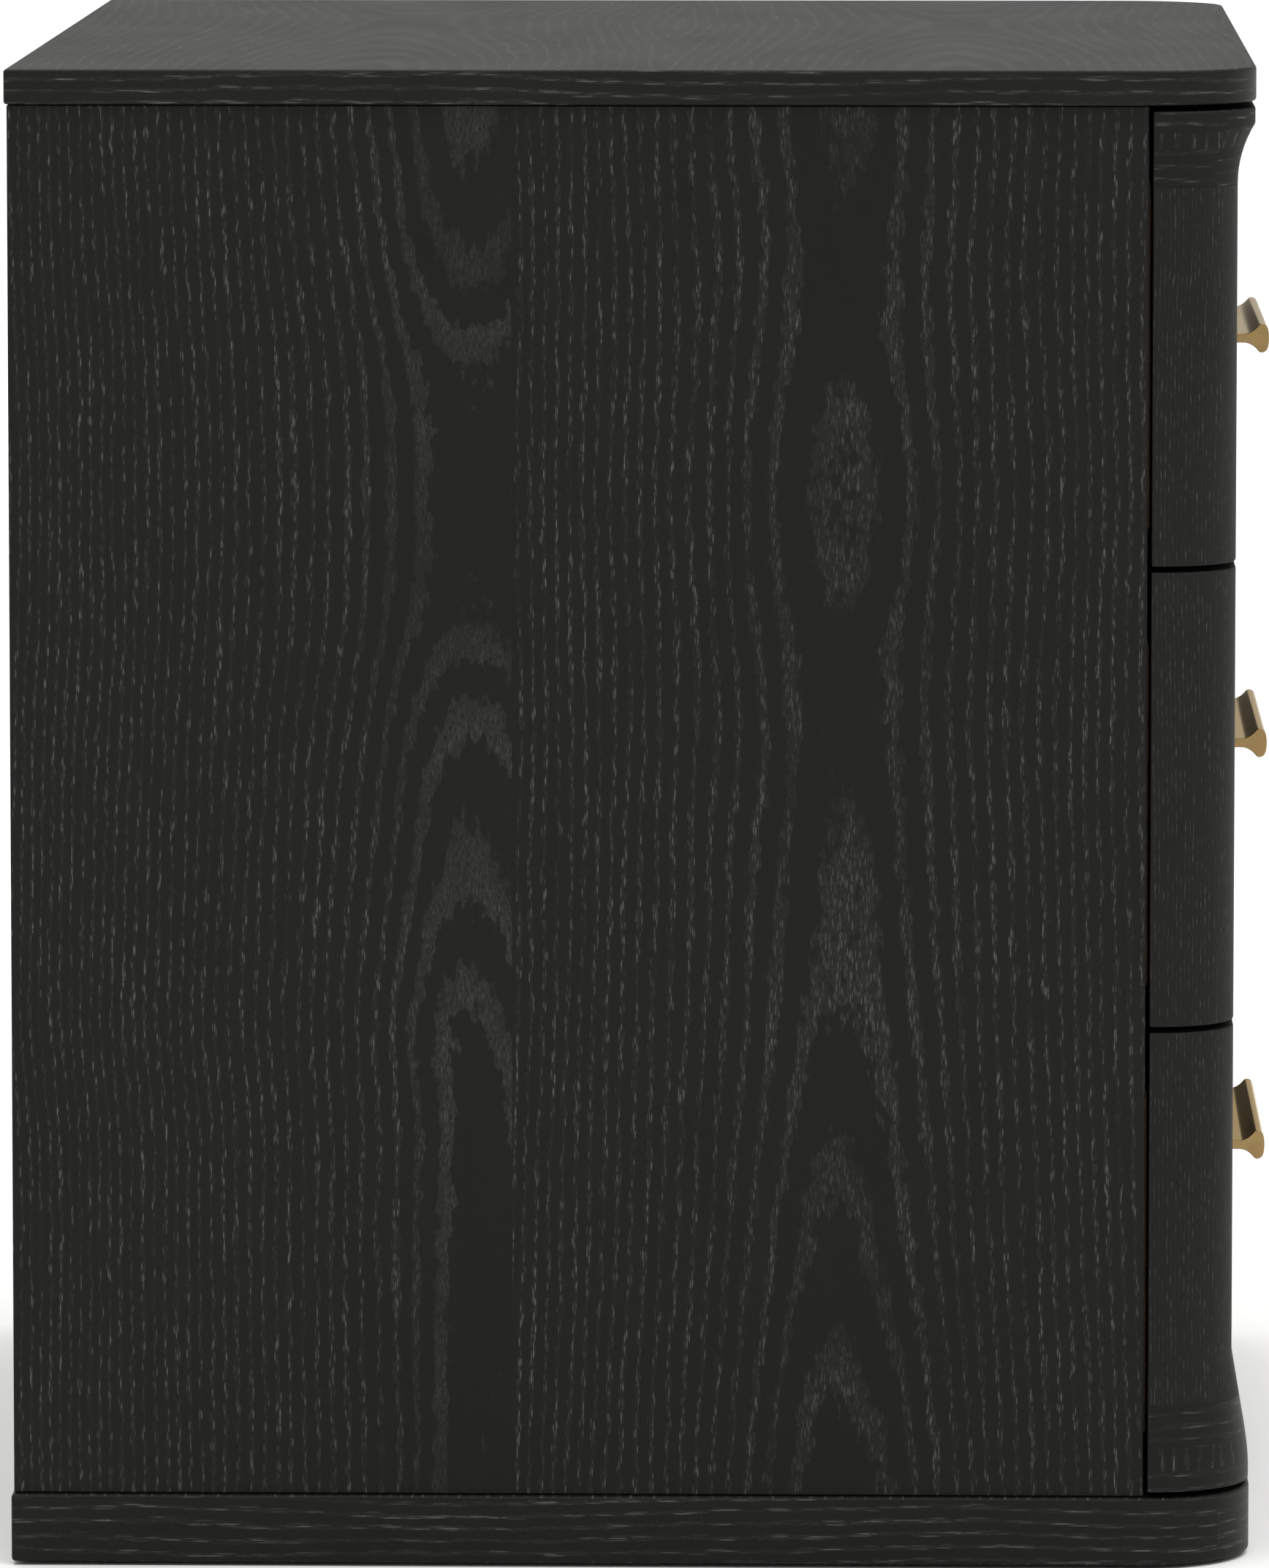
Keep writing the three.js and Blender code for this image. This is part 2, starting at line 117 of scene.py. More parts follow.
# Where the screws lie along a slide, as shares of its length from the front.
SLIDE_SCREW_SHARES = (0.06, 0.40, 0.82)

# A cross recess has twelve corners and a point between each two, so each ring of a head has 24.
SCREW_POINTS = 24


# ---------------------------------------------------------------- material graphs


class Field:
    """A number that varies over a surface. Arithmetic on fields adds Math nodes to the material."""

    def __init__(self, tree, socket):
        self.tree = tree
        self.socket = socket

    def operate(self, operation, *others):
        node = self.tree.nodes.new("ShaderNodeMath")
        node.operation = operation
        for index, value in enumerate((self, *others)):
            connect(self.tree, value, node.inputs[index])
        return Field(self.tree, node.outputs[0])

    def __add__(self, other):
        return self.operate("ADD", other)

    def __sub__(self, other):
        return self.operate("SUBTRACT", other)

    def __mul__(self, other):
        return self.operate("MULTIPLY", other)

    def __truediv__(self, other):
        return self.operate("DIVIDE", other)

    def __pow__(self, other):
        return self.operate("POWER", other)

    def __abs__(self):
        return self.operate("ABSOLUTE")

    def fraction(self):
        return self.operate("FRACT")

    def at_least(self, low):
        return self.operate("MAXIMUM", low)

    def above(self, edge):
        return self.operate("GREATER_THAN", edge)

    def inverse(self):
        return (self * -1.0) + 1.0

    def rise(self, low, high):
        """0 below low, 1 above high, with a smooth step between."""
        node = self.tree.nodes.new("ShaderNodeMapRange")
        node.interpolation_type = "SMOOTHSTEP"
        connect(self.tree, self, node.inputs["Value"])
        node.inputs["From Min"].default_value = low
        node.inputs["From Max"].default_value = high
        return Field(self.tree, node.outputs["Result"])

    def blend(self, low, high):
        """low where this field is 0, high where it is 1."""
        node = self.tree.nodes.new("ShaderNodeMix")
        connect(self.tree, self, node.inputs[0])
        connect(self.tree, low, node.inputs[2])
        connect(self.tree, high, node.inputs[3])
        return Field(self.tree, node.outputs[0])


def connect(tree, value, socket):
    if isinstance(value, Field):
        tree.links.new(value.socket, socket)
    else:
        socket.default_value = value


class Surface:
    """A new material with a Principled shader, and the texture nodes this script uses."""

    def __init__(self, name, **plain):
        self.material = bpy.data.materials.new(name)
        self.material.use_nodes = True
        self.tree = self.material.node_tree
        self.shader = self.tree.nodes["Principled BSDF"]
        for socket, value in plain.items():
            self.shader.inputs[socket.replace("_", " ")].default_value = value

    def grain_map(self):
        """Across and along the grain, in millimetres, from the piece's grain map."""
        uv = self.tree.nodes.new("ShaderNodeUVMap")
        uv.uv_map = "grain"
        parts = self.tree.nodes.new("ShaderNodeSeparateXYZ")
        self.tree.links.new(uv.outputs[0], parts.inputs[0])
        return Field(self.tree, parts.outputs[0]), Field(self.tree, parts.outputs[1])

    def place(self):
        """The point's own place in the piece, in millimetres."""
        coordinate = self.tree.nodes.new("ShaderNodeTexCoord")
        parts = self.tree.nodes.new("ShaderNodeSeparateXYZ")
        self.tree.links.new(coordinate.outputs["Object"], parts.inputs[0])
        return [Field(self.tree, output) * 1000.0 for output in parts.outputs]

    def vector(self, *values):
        node = self.tree.nodes.new("ShaderNodeCombineXYZ")
        for value, socket in zip(values, node.inputs):
            connect(self.tree, value, socket)
        return Field(self.tree, node.outputs[0])

    def noise(self, *place, detail=2.0):
        node = self.tree.nodes.new("ShaderNodeTexNoise")
        connect(self.tree, self.vector(*place), node.inputs["Vector"])
        node.inputs["Scale"].default_value = 1.0
        node.inputs["Detail"].default_value = detail
        return Field(self.tree, node.outputs["Fac"])

    def cells(self, across, along, width, length, seed):
        """Scattered cells, width by length millimetres: distance from the nearest one's centre,
        a number of its own, and where that centre lies."""
        node = self.tree.nodes.new("ShaderNodeTexVoronoi")
        connect(self.tree, self.vector(across / width, along / length, seed), node.inputs["Vector"])
        node.inputs["Scale"].default_value = 1.0
        number = self.tree.nodes.new("ShaderNodeSeparateColor")
        self.tree.links.new(node.outputs["Color"], number.inputs[0])
        centre = self.tree.nodes.new("ShaderNodeSeparateXYZ")
        self.tree.links.new(node.outputs["Position"], centre.inputs[0])
        return (Field(self.tree, node.outputs["Distance"]),
                Field(self.tree, number.outputs[0]),
                Field(self.tree, centre.outputs[0]) * width,
                Field(self.tree, centre.outputs[1]) * length)

    def curve(self, value, points, x_span, y_span):
        """A smooth curve through a few (x, y) points, for x from 0 to x_span."""
        node = self.tree.nodes.new("ShaderNodeFloatCurve")
        line = node.mapping.curves[0]
        places = [(x / x_span, y / y_span) for x, y in points]
        line.points[0].location = places[0]
        line.points[1].location = places[-1]
        for place in places[1:-1]:
            line.points.new(*place)
        node.mapping.update()
        connect(self.tree, value / x_span, node.inputs["Value"])
        return Field(self.tree, node.outputs[0]) * y_span

    def colour(self, *steps):
        """Sets the base colour from (amount, low, high), then any further (amount, colour)."""
        amount, low, high, *more = steps
        mixed = self.mix(amount, (*low, 1.0), (*high, 1.0))
        for amount, colour in zip(more[::2], more[1::2]):
            mixed = self.mix(amount, mixed, (*colour, 1.0))
        connect(self.tree, mixed, self.shader.inputs["Base Color"])

    def mix(self, amount, low, high):
        node = self.tree.nodes.new("ShaderNodeMix")
        node.data_type = "RGBA"
        connect(self.tree, amount, node.inputs[0])
        connect(self.tree, low, node.inputs[6])
        connect(self.tree, high, node.inputs[7])
        return Field(self.tree, node.outputs[2])

    def roughness(self, amount, low, high):
        connect(self.tree, amount.blend(low, high), self.shader.inputs["Roughness"])

    def bump(self, height, depth):
        """Raises the surface by height times depth, in metres."""
        node = self.tree.nodes.new("ShaderNodeBump")
        node.inputs["Strength"].default_value = 1.0
        node.inputs["Distance"].default_value = depth
        connect(self.tree, height, node.inputs["Height"])
        self.tree.links.new(node.outputs[0], self.shader.inputs["Normal"])


# ---------------------------------------------------------------- oak

STAIN = (0.0088, 0.0088, 0.0080)
PORE = (0.105, 0.105, 0.099)
PIT = (0.0015, 0.0015, 0.0014)

# Pores and specks are cells of these sizes, in millimetres.
PORE_WIDTH = 0.72
PORE_LENGTH = 4.6
SPECK_WIDTH = 0.55
SPECK_LENGTH = 2.2

# How much pale filler the pores, the specks and the haze between them hold.
DASH_FILL = 0.90
SPECK_FILL = 0.26
HAZE_FILL = 0.16


def oak(name, rings, seed, fineness=1.0, length=PORE_LENGTH, strength=1.0, depth=0.0001,
        gloss=0.125, rough=0.42, turned=None):
    """Black stain over open pores.

    rings(surface, across, along) gives the number of growth rings, and how flat they lie: from 0,
    where they stand on edge and their pores show as long dashes, to 1, where they lie in the
    surface as broad speckled arches. The pores are short cells, each kept or left out by the ring
    that its centre lies in. Most hold pale filler, and a few are open and dark. Where the map's
    first coordinate lies between the two numbers of turned, the grain is turned through a right
    angle.
    """
    surface = Surface(name, Specular_IOR_Level=gloss)
    across, along = surface.grain_map()
    if turned:
        turned_band = across.above(turned[0]) * across.above(turned[1]).inverse()
        across, along = turned_band.blend(across, along), turned_band.blend(along, across)

    # Each pore is a dash. They crowd together where a ring begins and thin out further on.
    near, number, pore_across, pore_along = surface.cells(
        across, along, PORE_WIDTH * fineness, length, seed)
    pore_ring, _ = rings(surface, pore_across, pore_along)
    phase = pore_ring.fraction()
    crowded = phase.rise(0.0, 0.09) * phase.rise(0.16, 0.46).inverse()
    ring, flat = rings(surface, across, along)
    upright = flat * -0.72 + 1.0
    dash = near.rise(0.24, 0.54).inverse() * number.rise(0.0, 0.85) * crowded * upright

    # The early wood is a band at the start of each ring, broad where the ring lies flat.
    phase = ring.fraction()
    band = phase.rise(0.0, 0.05) * (phase + upright * 0.22).rise(0.45, 0.57).inverse()
    ring_tone = surface.noise((ring - phase) * 0.618, along / 160.0, seed + 15.0).rise(0.34, 0.60)

    # Specks and a fine haze fill the band, and show a little everywhere.
    fine_near, fine_number, _, _ = surface.cells(
        across, along, SPECK_WIDTH * fineness, SPECK_LENGTH, seed + 7.0)
    speck = fine_near.rise(0.15, 0.50).inverse()
    patch = surface.noise(across / 9.0, along / 30.0, seed + 3.0).rise(0.34, 0.62)
    grit = surface.noise(across / (0.8 * fineness), along / 2.2, seed + 11.0, detail=3.0)
    haze = grit.rise(0.30, 0.72) * HAZE_FILL + 0.05
    filled = (dash * DASH_FILL + speck * fine_number * (band * upright * SPECK_FILL + 0.04)
              + haze * (band * (flat * 0.70 + 0.30) + 0.10))
    pale = filled * (patch * 0.30 + 0.70) * (ring_tone * 0.45 + 0.55) * strength
    open_pore = speck * fine_number.above(0.74) * (band * 0.9 + 0.06) * patch

    surface.colour(pale, STAIN, PORE, open_pore, PIT)
    cloud = surface.noise(across / 40.0, along / 120.0, 5.0)
    surface.roughness(cloud, rough, rough + 0.10)
    surface.bump((pale + open_pore) * -1.0, depth)
    return surface.material


# Straight oak: the width of a growth ring in millimetres, how many rings the lines wander, and how
# flat the rings lie.
STRAIGHT_RING = 5.2
STRAIGHT_WANDER = 3.4
STRAIGHT_FLATNESS = 0.15


def straight_oak(name, seed, **finish):
    """Oak whose growth lines run straight along the grain."""

    def rings(surface, across, along):
        drift = surface.noise(across / 60.0, along / 240.0, seed) * STRAIGHT_WANDER
        ripple = surface.noise(across / 6.0, along / 14.0, seed + 1.0) * (STRAIGHT_WANDER * 0.16)
        return across / STRAIGHT_RING + drift + ripple, STRAIGHT_FLATNESS

    return oak(name, rings, seed, **finish)


# Figured veneer is a plane cut beside the tree's heart. heart is where the heart lies across the
# leaf, ring is the width of a growth ring, and depth says how deep the heart lies under the surface,
# at rising places along the grain. All are in millimetres. No depth reaches DEPTH_SPAN.
DEPTH_SPAN = 70.0

# The side panels: two leaves side by side, each mirrored about one height into nested arches. Far
# from the heart the rings crowd together. flatness says how broad a leaf's speckled arches are.
# Low down the back leaf's heart leans forward, and the lean fades between two heights.
SIDE_SEED = 1.0
SIDE_MIRROR = 434.0
SIDE_JOINT = 202.3
SIDE_LEAN = 4.5
SIDE_LEAN_FADES = (165.0, 235.0)
CROWDED_BEYOND = 90.0
CROWDING = 0.0003
SIDE_BACK_LEAF = {
    "heart": 186.6,
    "ring": 4.9,
    "depth": [(0, 42.7), (190, 42.8), (222, 44.2), (241, 46.3), (270, 48.8), (311, 51.5),
              (333, 53.7), (352, 56.1), (384, 60.7), (408, 61.2), (434, 61.4)],
    "flatness": 1.0,
}
SIDE_FRONT_LEAF = {
    "heart": 334.8,
    "ring": 5.2,
    "depth": [(0, 42.1), (69, 46.8), (142, 52.0), (191, 54.9), (236, 57.2), (290, 58.6),
              (345, 60.4), (385, 59.4), (405, 58.2), (434, 57.4)],
    "flatness": 0.45,
}

# The drawer fronts: two mirrored leaves that run up through all three.
DRAWER_SEED = 21.0
DRAWER_HEART = 136.0
DRAWER_RING = 3.4
DRAWER_FINE_BEYOND = 105.0
DRAWER_DEPTH = [(0, 30), (90, 36), (190, 47), (300, 55), (400, 60), (480, 62), (540, 58),
                (620, 50)]

# The top: two mirrored leaves, with the grain running from side to side.
TOP_SEED = 63.0
TOP_JOINT = 262.0
TOP_HEART = 118.0
TOP_RING = 5.4
TOP_DEPTH = [(0, 34), (110, 41), (230, 52), (340, 60), (430, 62), (520, 57), (632, 46)]


def cut(surface, across, along, heart, depth):
    """How far each point is from the tree's heart, and how flat the rings lie in the surface."""
    below = surface.curve(along, depth, depth[-1][0], DEPTH_SPAN)
    reach = ((across - heart) ** 2.0 + below * below) ** 0.5
    return reach, (below / reach).rise(0.70, 0.97)


def side_leaf(surface, across, along, heart, ring, depth, flatness):
    reach, flat = cut(surface, across, along, heart, depth)
    crowded = (reach - CROWDED_BEYOND).at_least(0.0)
    return reach / ring + crowded * crowded * CROWDING, flat * flatness


def side_rings(surface, across, along):
    """The side panels, as leaf beside leaf."""
    folded = abs(along - SIDE_MIRROR) * -1.0 + SIDE_MIRROR
    lean = folded.rise(*SIDE_LEAN_FADES).inverse() * SIDE_LEAN
    back, back_flat = side_leaf(surface, across - lean, folded, **SIDE_BACK_LEAF)
    front, front_flat = side_leaf(surface, across, folded, **SIDE_FRONT_LEAF)
    leaf = across.above(SIDE_JOINT)
    drift = (surface.noise(across / 30.0, folded / 90.0, SIDE_SEED) - 0.5) * 0.9
    fine_noise = surface.noise(across / 4.0, folded / 9.0, SIDE_SEED + 1.0, detail=3.0)
    ripple = (fine_noise - 0.5) * 0.75
    return leaf.blend(back, front) + drift + ripple, leaf.blend(back_flat, front_flat)


def drawer_rings(surface, across, along):
    """The drawer fronts. Out at their rounded ends the lines run twice as fine."""
    reach, flat = cut(surface, abs(across), along, DRAWER_HEART, DRAWER_DEPTH)
    fine = (reach - DRAWER_FINE_BEYOND).at_least(0.0)
    drift = surface.noise(across / 60.0, along / 240.0, DRAWER_SEED) * 4.0
    ripple = surface.noise(across / 6.0, along / 14.0, DRAWER_SEED + 1.0) * 0.64
    return reach / DRAWER_RING + fine / DRAWER_RING + drift + ripple, flat


def top_rings(surface, across, along):
    """The top. Its depths are measured from the left end."""
    reach, flat = cut(surface, abs(across - TOP_JOINT), along + WIDTH / 2, TOP_HEART, TOP_DEPTH)
    drift = surface.noise(across / 60.0, along / 240.0, TOP_SEED) * 2.6
    fine_noise = surface.noise(across / 4.0, along / 14.0, TOP_SEED + 1.0, detail=3.0)
    ripple = (fine_noise - 0.5) * 0.7
    return reach / TOP_RING + drift + ripple, flat


# ---------------------------------------------------------------- other materials


# Noise mixes the two tones of each pair. BRASS_GLANCE tints the brass at a glancing angle.
BIRCH_TONES = ((0.50, 0.34, 0.185), (0.68, 0.51, 0.31))
BOARD_TONES = ((0.011, 0.011, 0.0105), (0.024, 0.024, 0.023))
BRASS_TONES = ((0.245, 0.163, 0.069), (0.290, 0.197, 0.087))
BRASS_GLANCE = (0.97, 0.76, 0.45, 1.0)
ZINC_TONES = ((0.48, 0.49, 0.50), (0.56, 0.57, 0.58))
NYLON_TONES = ((0.016, 0.016, 0.016), (0.030, 0.030, 0.030))


def pale_hardwood():
    """Lacquered birch of the drawer boxes."""
    surface = Surface("drawer_birch", Specular_IOR_Level=0.4)
    across, along = surface.grain_map()
    drift = surface.noise(across / 50.0, along / 300.0, 2.0) * 5.0
    lines = surface.noise(across / 2.2 + drift, along / 160.0, 4.0, detail=4.0)
    fleck = surface.noise(across / 0.5, along / 9.0, 6.0)
    tone = lines * 0.8 + fleck * 0.2
    surface.colour(tone.rise(0.30, 0.72), *BIRCH_TONES)
    surface.roughness(tone, 0.38, 0.55)
    surface.bump(fleck, 0.00004)
    return surface.material


def painted_board():
    """Black-stained board of the case's inside and back."""
    surface = Surface("case_board", Specular_IOR_Level=0.2)
    across, along = surface.grain_map()
    fibre = surface.noise(across / 0.9, along / 26.0, 3.0, detail=4.0)
    surface.colour(fibre.rise(0.35, 0.75), *BOARD_TONES)
    surface.roughness(fibre, 0.55, 0.72)
    surface.bump(fibre, 0.00005)
    return surface.material


def satin_brass():
    """Brushed along the length of the pull, with a soft lacquer."""
    surface = Surface("satin_brass", Metallic=1.0, Specular_Tint=BRASS_GLANCE)
    x, y, z = surface.place()
    brushing = surface.noise(x / 30.0, y / 0.10, z / 0.10, detail=3.0)
    blush = surface.noise(x / 22.0, y / 9.0, z / 9.0)
    surface.colour(blush.rise(0.3, 0.7), *BRASS_TONES)
    surface.roughness(brushing, 0.09, 0.19)
    surface.bump(brushing, 0.000003)
    return surface.material


def zinc_plate():
    """Bright zinc on rolled steel, with faint spangle and draw lines along Y."""
    surface = Surface("zinc_plate", Metallic=1.0)
    x, y, z = surface.place()
    lines = surface.noise(x / 0.25, y / 60.0, z / 0.25, detail=3.0)
    spangle = surface.noise(x / 5.0, y / 7.0, z / 5.0)
    surface.colour(spangle.rise(0.3, 0.7), *ZINC_TONES)
    surface.roughness(lines, 0.26, 0.42)
    surface.bump(lines, 0.00001)
    return surface.material


def moulded_nylon():
    surface = Surface("moulded_nylon", Specular_IOR_Level=0.4)
    x, y, z = surface.place()
    grit = surface.noise(x / 0.4, y / 0.4, z / 0.4)
    surface.colour(grit, *NYLON_TONES)
    surface.roughness(grit, 0.50, 0.66)
    surface.bump(grit, 0.00003)
    return surface.material


# The mouldings' short band of upright grain lies between these heights.
CROWN_BAND = (572.2, 578.6)
BASE_BAND = (40.0, 49.3)

FIGURED_OAK = oak("oak_figured", side_rings, SIDE_SEED)
FRONT_OAK = oak("oak_fronts", drawer_rings, DRAWER_SEED, fineness=0.6, strength=0.6, gloss=0.17,
                rough=0.60)
EDGE_OAK = straight_oak("oak_edges", 42.0, length=11.0, strength=1.2)
TOP_OAK = oak("oak_top", top_rings, TOP_SEED, strength=0.85, depth=0.00003, gloss=0.14)
CROWN_OAK = straight_oak("oak_crown", 84.0, length=9.0, gloss=0.13, rough=0.60,
                         turned=CROWN_BAND)
BASE_OAK = straight_oak("oak_base", 105.0, length=9.0, turned=BASE_BAND)
CASE_BOARD = painted_board()
BIRCH = pale_hardwood()
BRASS = satin_brass()
ZINC = zinc_plate()
NYLON = moulded_nylon()


# ---------------------------------------------------------------- pieces

# Which way the grain runs on a face, by the axis that the face looks along.
UPRIGHT = {"X": "Z", "Y": "Z", "Z": "X"}
LEVEL = {"X": "Y", "Y": "X", "Z": "X"}
BACKWARD = {"X": "Y", "Y": "Z", "Z": "Y"}


def facing(face):
    normal = face.normal
    return max(AXES, key=lambda axis: abs(normal[AXES[axis]]))


def grain_place(point, looks, runs):
    """Across and along the grain, in millimetres. Y counts forward from the back of the top."""
    place = {"X": point.x, "Y": BACK - point.y, "Z": point.z}
    across = next(axis for axis in AXES if axis not in (looks, runs))
    return place[across] / MM, place[runs] / MM


def round_arrises(shape, seams, arris, seam_arris, steps):
    """Rounds the sharp edges: by arris, or by seam_arris where they border a seam face.

    Slivers that the rounding leaves where edges meet are taken out.
    """
    sharp = [e for e in shape.edges if e.is_manifold and e.calc_face_angle() > SHARP]
    at_seam = [e for e in sharp if any(face in seams for face in e.link_faces)]
    outer = [e for e in sharp if e not in at_seam]
    for edges, width in ((outer, arris), (at_seam, seam_arris)):
        edges = [edge for edge in edges if edge.is_valid]
        if edges and width:
            bmesh.ops.bevel(shape, geom=edges, offset=width, offset_type="OFFSET", segments=steps,
                            profile=0.5, affect="EDGES", clamp_overlap=True)
    bmesh.ops.dissolve_degenerate(shape, dist=SAME_POINT, edges=shape.edges[:])


def finished(shape, name, materials, grain):
    """Maps a shape's grain, gives its faces their materials, and makes it an object."""
    shape.normal_update()
    kinds = list(dict.fromkeys(materials.values()))
    layer = shape.loops.layers.uv.new("grain")
    for face in shape.faces:
        looks = facing(face)
        face.smooth = True
        face.material_index = kinds.index(materials[looks])
        for loop in face.loops:
            loop[layer].uv = grain_place(loop.vert.co, looks, grain[looks])
    mesh = bpy.data.meshes.new(name)
    shape.to_mesh(mesh)
    shape.free()
    for material in kinds:
        mesh.materials.append(material)
    mesh.set_sharp_from_angle(angle=SHADED_SHARP)
    piece = bpy.data.objects.new(name, mesh)
    bpy.context.scene.collection.objects.link(piece)
    weighted = piece.modifiers.new("even_faces", "WEIGHTED_NORMAL")
    weighted.keep_sharp = True
    return piece


def all_faces(material):
    return {axis: material for axis in AXES}


def from_node(node):
    """The CAD node's shape, with its triangles joined back into faces."""
    shape = bmesh.new()
    shape.from_mesh(frame["nodes"][node].data)
    bmesh.ops.remove_doubles(shape, verts=shape.verts, dist=SAME_POINT)
    bmesh.ops.dissolve_limit(shape, angle_limit=FLAT, verts=shape.verts[:], edges=shape.edges[:])
    return shape


def nowhere(face):
    return False


def refine(node, name, materials, grain, arris, steps=2, seam=nowhere, seam_arris=0.0):
    """Puts a finished piece of the same shape in a CAD node's place.

    The CAD keeps its pieces a hair apart. A face that seam picks is where this piece is glued to
    its neighbour, so the face moves out to close the joint, and its edges stay crisp.
    """
    shape = from_node(node)
    shape.normal_update()
    seams = [face for face in shape.faces if seam(face)]
    for face in seams:
        for vert in face.verts:
            vert.co += face.normal * JOINT_REACH
    round_arrises(shape, seams, arris * MM, seam_arris * MM, steps)
    piece = finished(shape, name, materials, grain)
    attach(piece, frame["nodes"][node]["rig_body"])
    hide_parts(node)


def is_mitre(face):
    """A flat upright face at 45 degrees, which no facet of a rounded corner is."""
    return abs(face.normal.z) < 0.01 and abs(abs(face.normal.x) - abs(face.normal.y)) < 0.01


def looks_up(face):
    return face.normal.z > 0.99


def looks_down(face):
    return face.normal.z < -0.99


def build_plinth_rail(place):
    refine(f"plinth_{place}", f"{place}_plinth_rail", all_faces(EDGE_OAK), LEVEL,
           ARRIS["plinth"], 3, seam=is_mitre)


def build_case():
    top_materials = {"X": EDGE_OAK, "Y": EDGE_OAK, "Z": TOP_OAK}
    side_materials = {"X": FIGURED_OAK, "Y": FRONT_OAK, "Z": FRONT_OAK}
    refine("top_panel", "veneered_top", top_materials, LEVEL, ARRIS["top"], 3)
    for side in SIDES:
        refine(f"{side}_side_panel", f"veneered_{side}_side", side_materials,
               UPRIGHT, ARRIS["side"])
        build_plinth_rail(side)
    for end in ("front", "back"):
        build_plinth_rail(end)
        for side in SIDES:
            refine(f"glide_{end}_{side}", f"{end}_{side}_nylon_glide",
                   all_faces(NYLON), LEVEL, ARRIS["glide"])
    for node in ("back_panel", "bottom_panel", "top_front_rail", "top_back_rail",
                 "lower_divider_rail", "upper_divider_rail"):
        grain = UPRIGHT if node == "back_panel" else LEVEL
        refine(node, f"stained_{node}", all_faces(CASE_BOARD), grain,
               ARRIS["case_board"])


def quadratic(start, control, end, steps):
    """Points along a curve, without its start."""
    points = []
    for step in range(1, steps + 1):
        t = step / steps
        points.append(tuple((1 - t) ** 2 * a + 2 * t * (1 - t) * b + t ** 2 * c
                            for a, b, c in zip(start, control, end)))
    return points


def pull_section(reach, neck, lip):
    """Out from the drawer face and up: a thin web that widens into a rounded lip."""
    tip = 0.80 * reach
    web_end = (0.44 * reach, neck)
    lip_top = (tip - 0.7, lip - 0.5)
    crest = (tip + 0.5, lip + 0.55)
    brow = (reach, 0.76 * lip)
    shoulder = ((crest[0] + brow[0]) / 2, (crest[1] + brow[1]) / 2)
    upper = [(0.0, neck), web_end]
    upper += quadratic(web_end, (0.62 * reach, 1.1 * neck), lip_top, 12)
    upper += quadratic(lip_top, crest, shoulder, 8)
    upper += quadratic(shoulder, brow, (reach, 0.0), 10)
    lower = [(out, -up) for out, up in reversed(upper[:-1])]
    return upper + lower


def prism(outline, start, end):
    """A solid of one section along X; outline holds (y, z) pairs."""
    shape = bmesh.new()
    rings = [[shape.verts.new((x, y, z)) for y, z in outline] for x in (start, end)]
    for index in range(len(outline)):
        after = (index + 1) % len(outline)
        shape.faces.new((rings[0][index], rings[0][after], rings[1][after], rings[1][index]))
    shape.faces.new(reversed(rings[0]))
    shape.faces.new(rings[1])
    bmesh.ops.recalc_face_normals(shape, faces=shape.faces)
    return shape


def build_pull(name):
    low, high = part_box(f"{name}_pull")
    face = high.y
    middle = (low.z + high.z) / 2
    reach = (high.y - low.y) / MM
    outline = [(face - out * MM, middle + up * MM) for out, up in
               pull_section(reach, PULL_NECK / 2, (high.z - low.z) / 2 / MM)]
    shape = prism(outline, low.x, high.x)
    shape.normal_update()
    round_arrises(shape, [], ARRIS["pull"] * MM, 0.0, 3)
    piece = finished(shape, f"brass_{name}_pull", all_faces(BRASS), LEVEL)
    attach(piece, f"{name}_drawer")
    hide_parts(f"{name}_pull")


def cross_recess(radius, arm, half_width):
    """A cross with its points in step with the angles of circle."""
    corners = []
    for cosine, sine in ((1, 0), (0, 1), (-1, 0), (0, -1)):
        for along, side in ((arm, -half_width), (arm, half_width), (half_width, half_width)):
            corners.append((radius * (along * cosine - side * sine),
                            radius * (along * sine + side * cosine)))
    points = []
    for here, after in zip(corners, corners[1:] + corners[:1]):
        points += [here, ((here[0] + after[0]) / 2, (here[1] + after[1]) / 2)]
    return points


def circle(radius):
    """Its first point lies one step before the X axis, as the first corner of the cross does."""
    angles = [math.tau * (step - 1) / SCREW_POINTS for step in range(SCREW_POINTS)]
    return [(radius * math.cos(angle), radius * math.sin(angle)) for angle in angles]


def add_screw_head(shape, centre, axis, radius, height):
    """A pan head with a cross recess, standing on centre and pointing along axis."""
    spin = Vector((0, 0, 1)).rotation_difference(Vector(axis))
    layers = [(circle(radius), 0.0), (circle(radius * 0.98), 0.45), (circle(radius * 0.86), 0.80),
              (circle(radius * 0.66), 1.0), (cross_recess(radius, 0.52, 0.12), 1.0),
              (cross_recess(radius, 0.44, 0.09), 0.25)]
    rings = []
    for points, level in layers:
        rings.append([shape.verts.new(Vector(centre) + spin @ Vector((x, y, level * height)))
                      for x, y in points])
    for lower, upper in zip(rings, rings[1:]):
        for index in range(SCREW_POINTS):
            after = (index + 1) % SCREW_POINTS
            shape.faces.new((lower[index], lower[after], upper[after], upper[index]))
    shape.faces.new(reversed(rings[0]))
    shape.faces.new(rings[-1])


def screws(name, body, places, axis, radius, height):
    """One piece holding a screw head at each of the places."""
    shape = bmesh.new()
    for place in places:
        add_screw_head(shape, place, axis, radius * MM, height * MM)
    piece = finished(shape, name, all_faces(ZINC), LEVEL)
    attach(piece, body)


def spread(low, high, edge, count):
    """Evenly spaced places. The first and last lie edge in from low and high."""
    return [low + edge + (high - low - 2 * edge) * step / (count - 1) for step in range(count)]


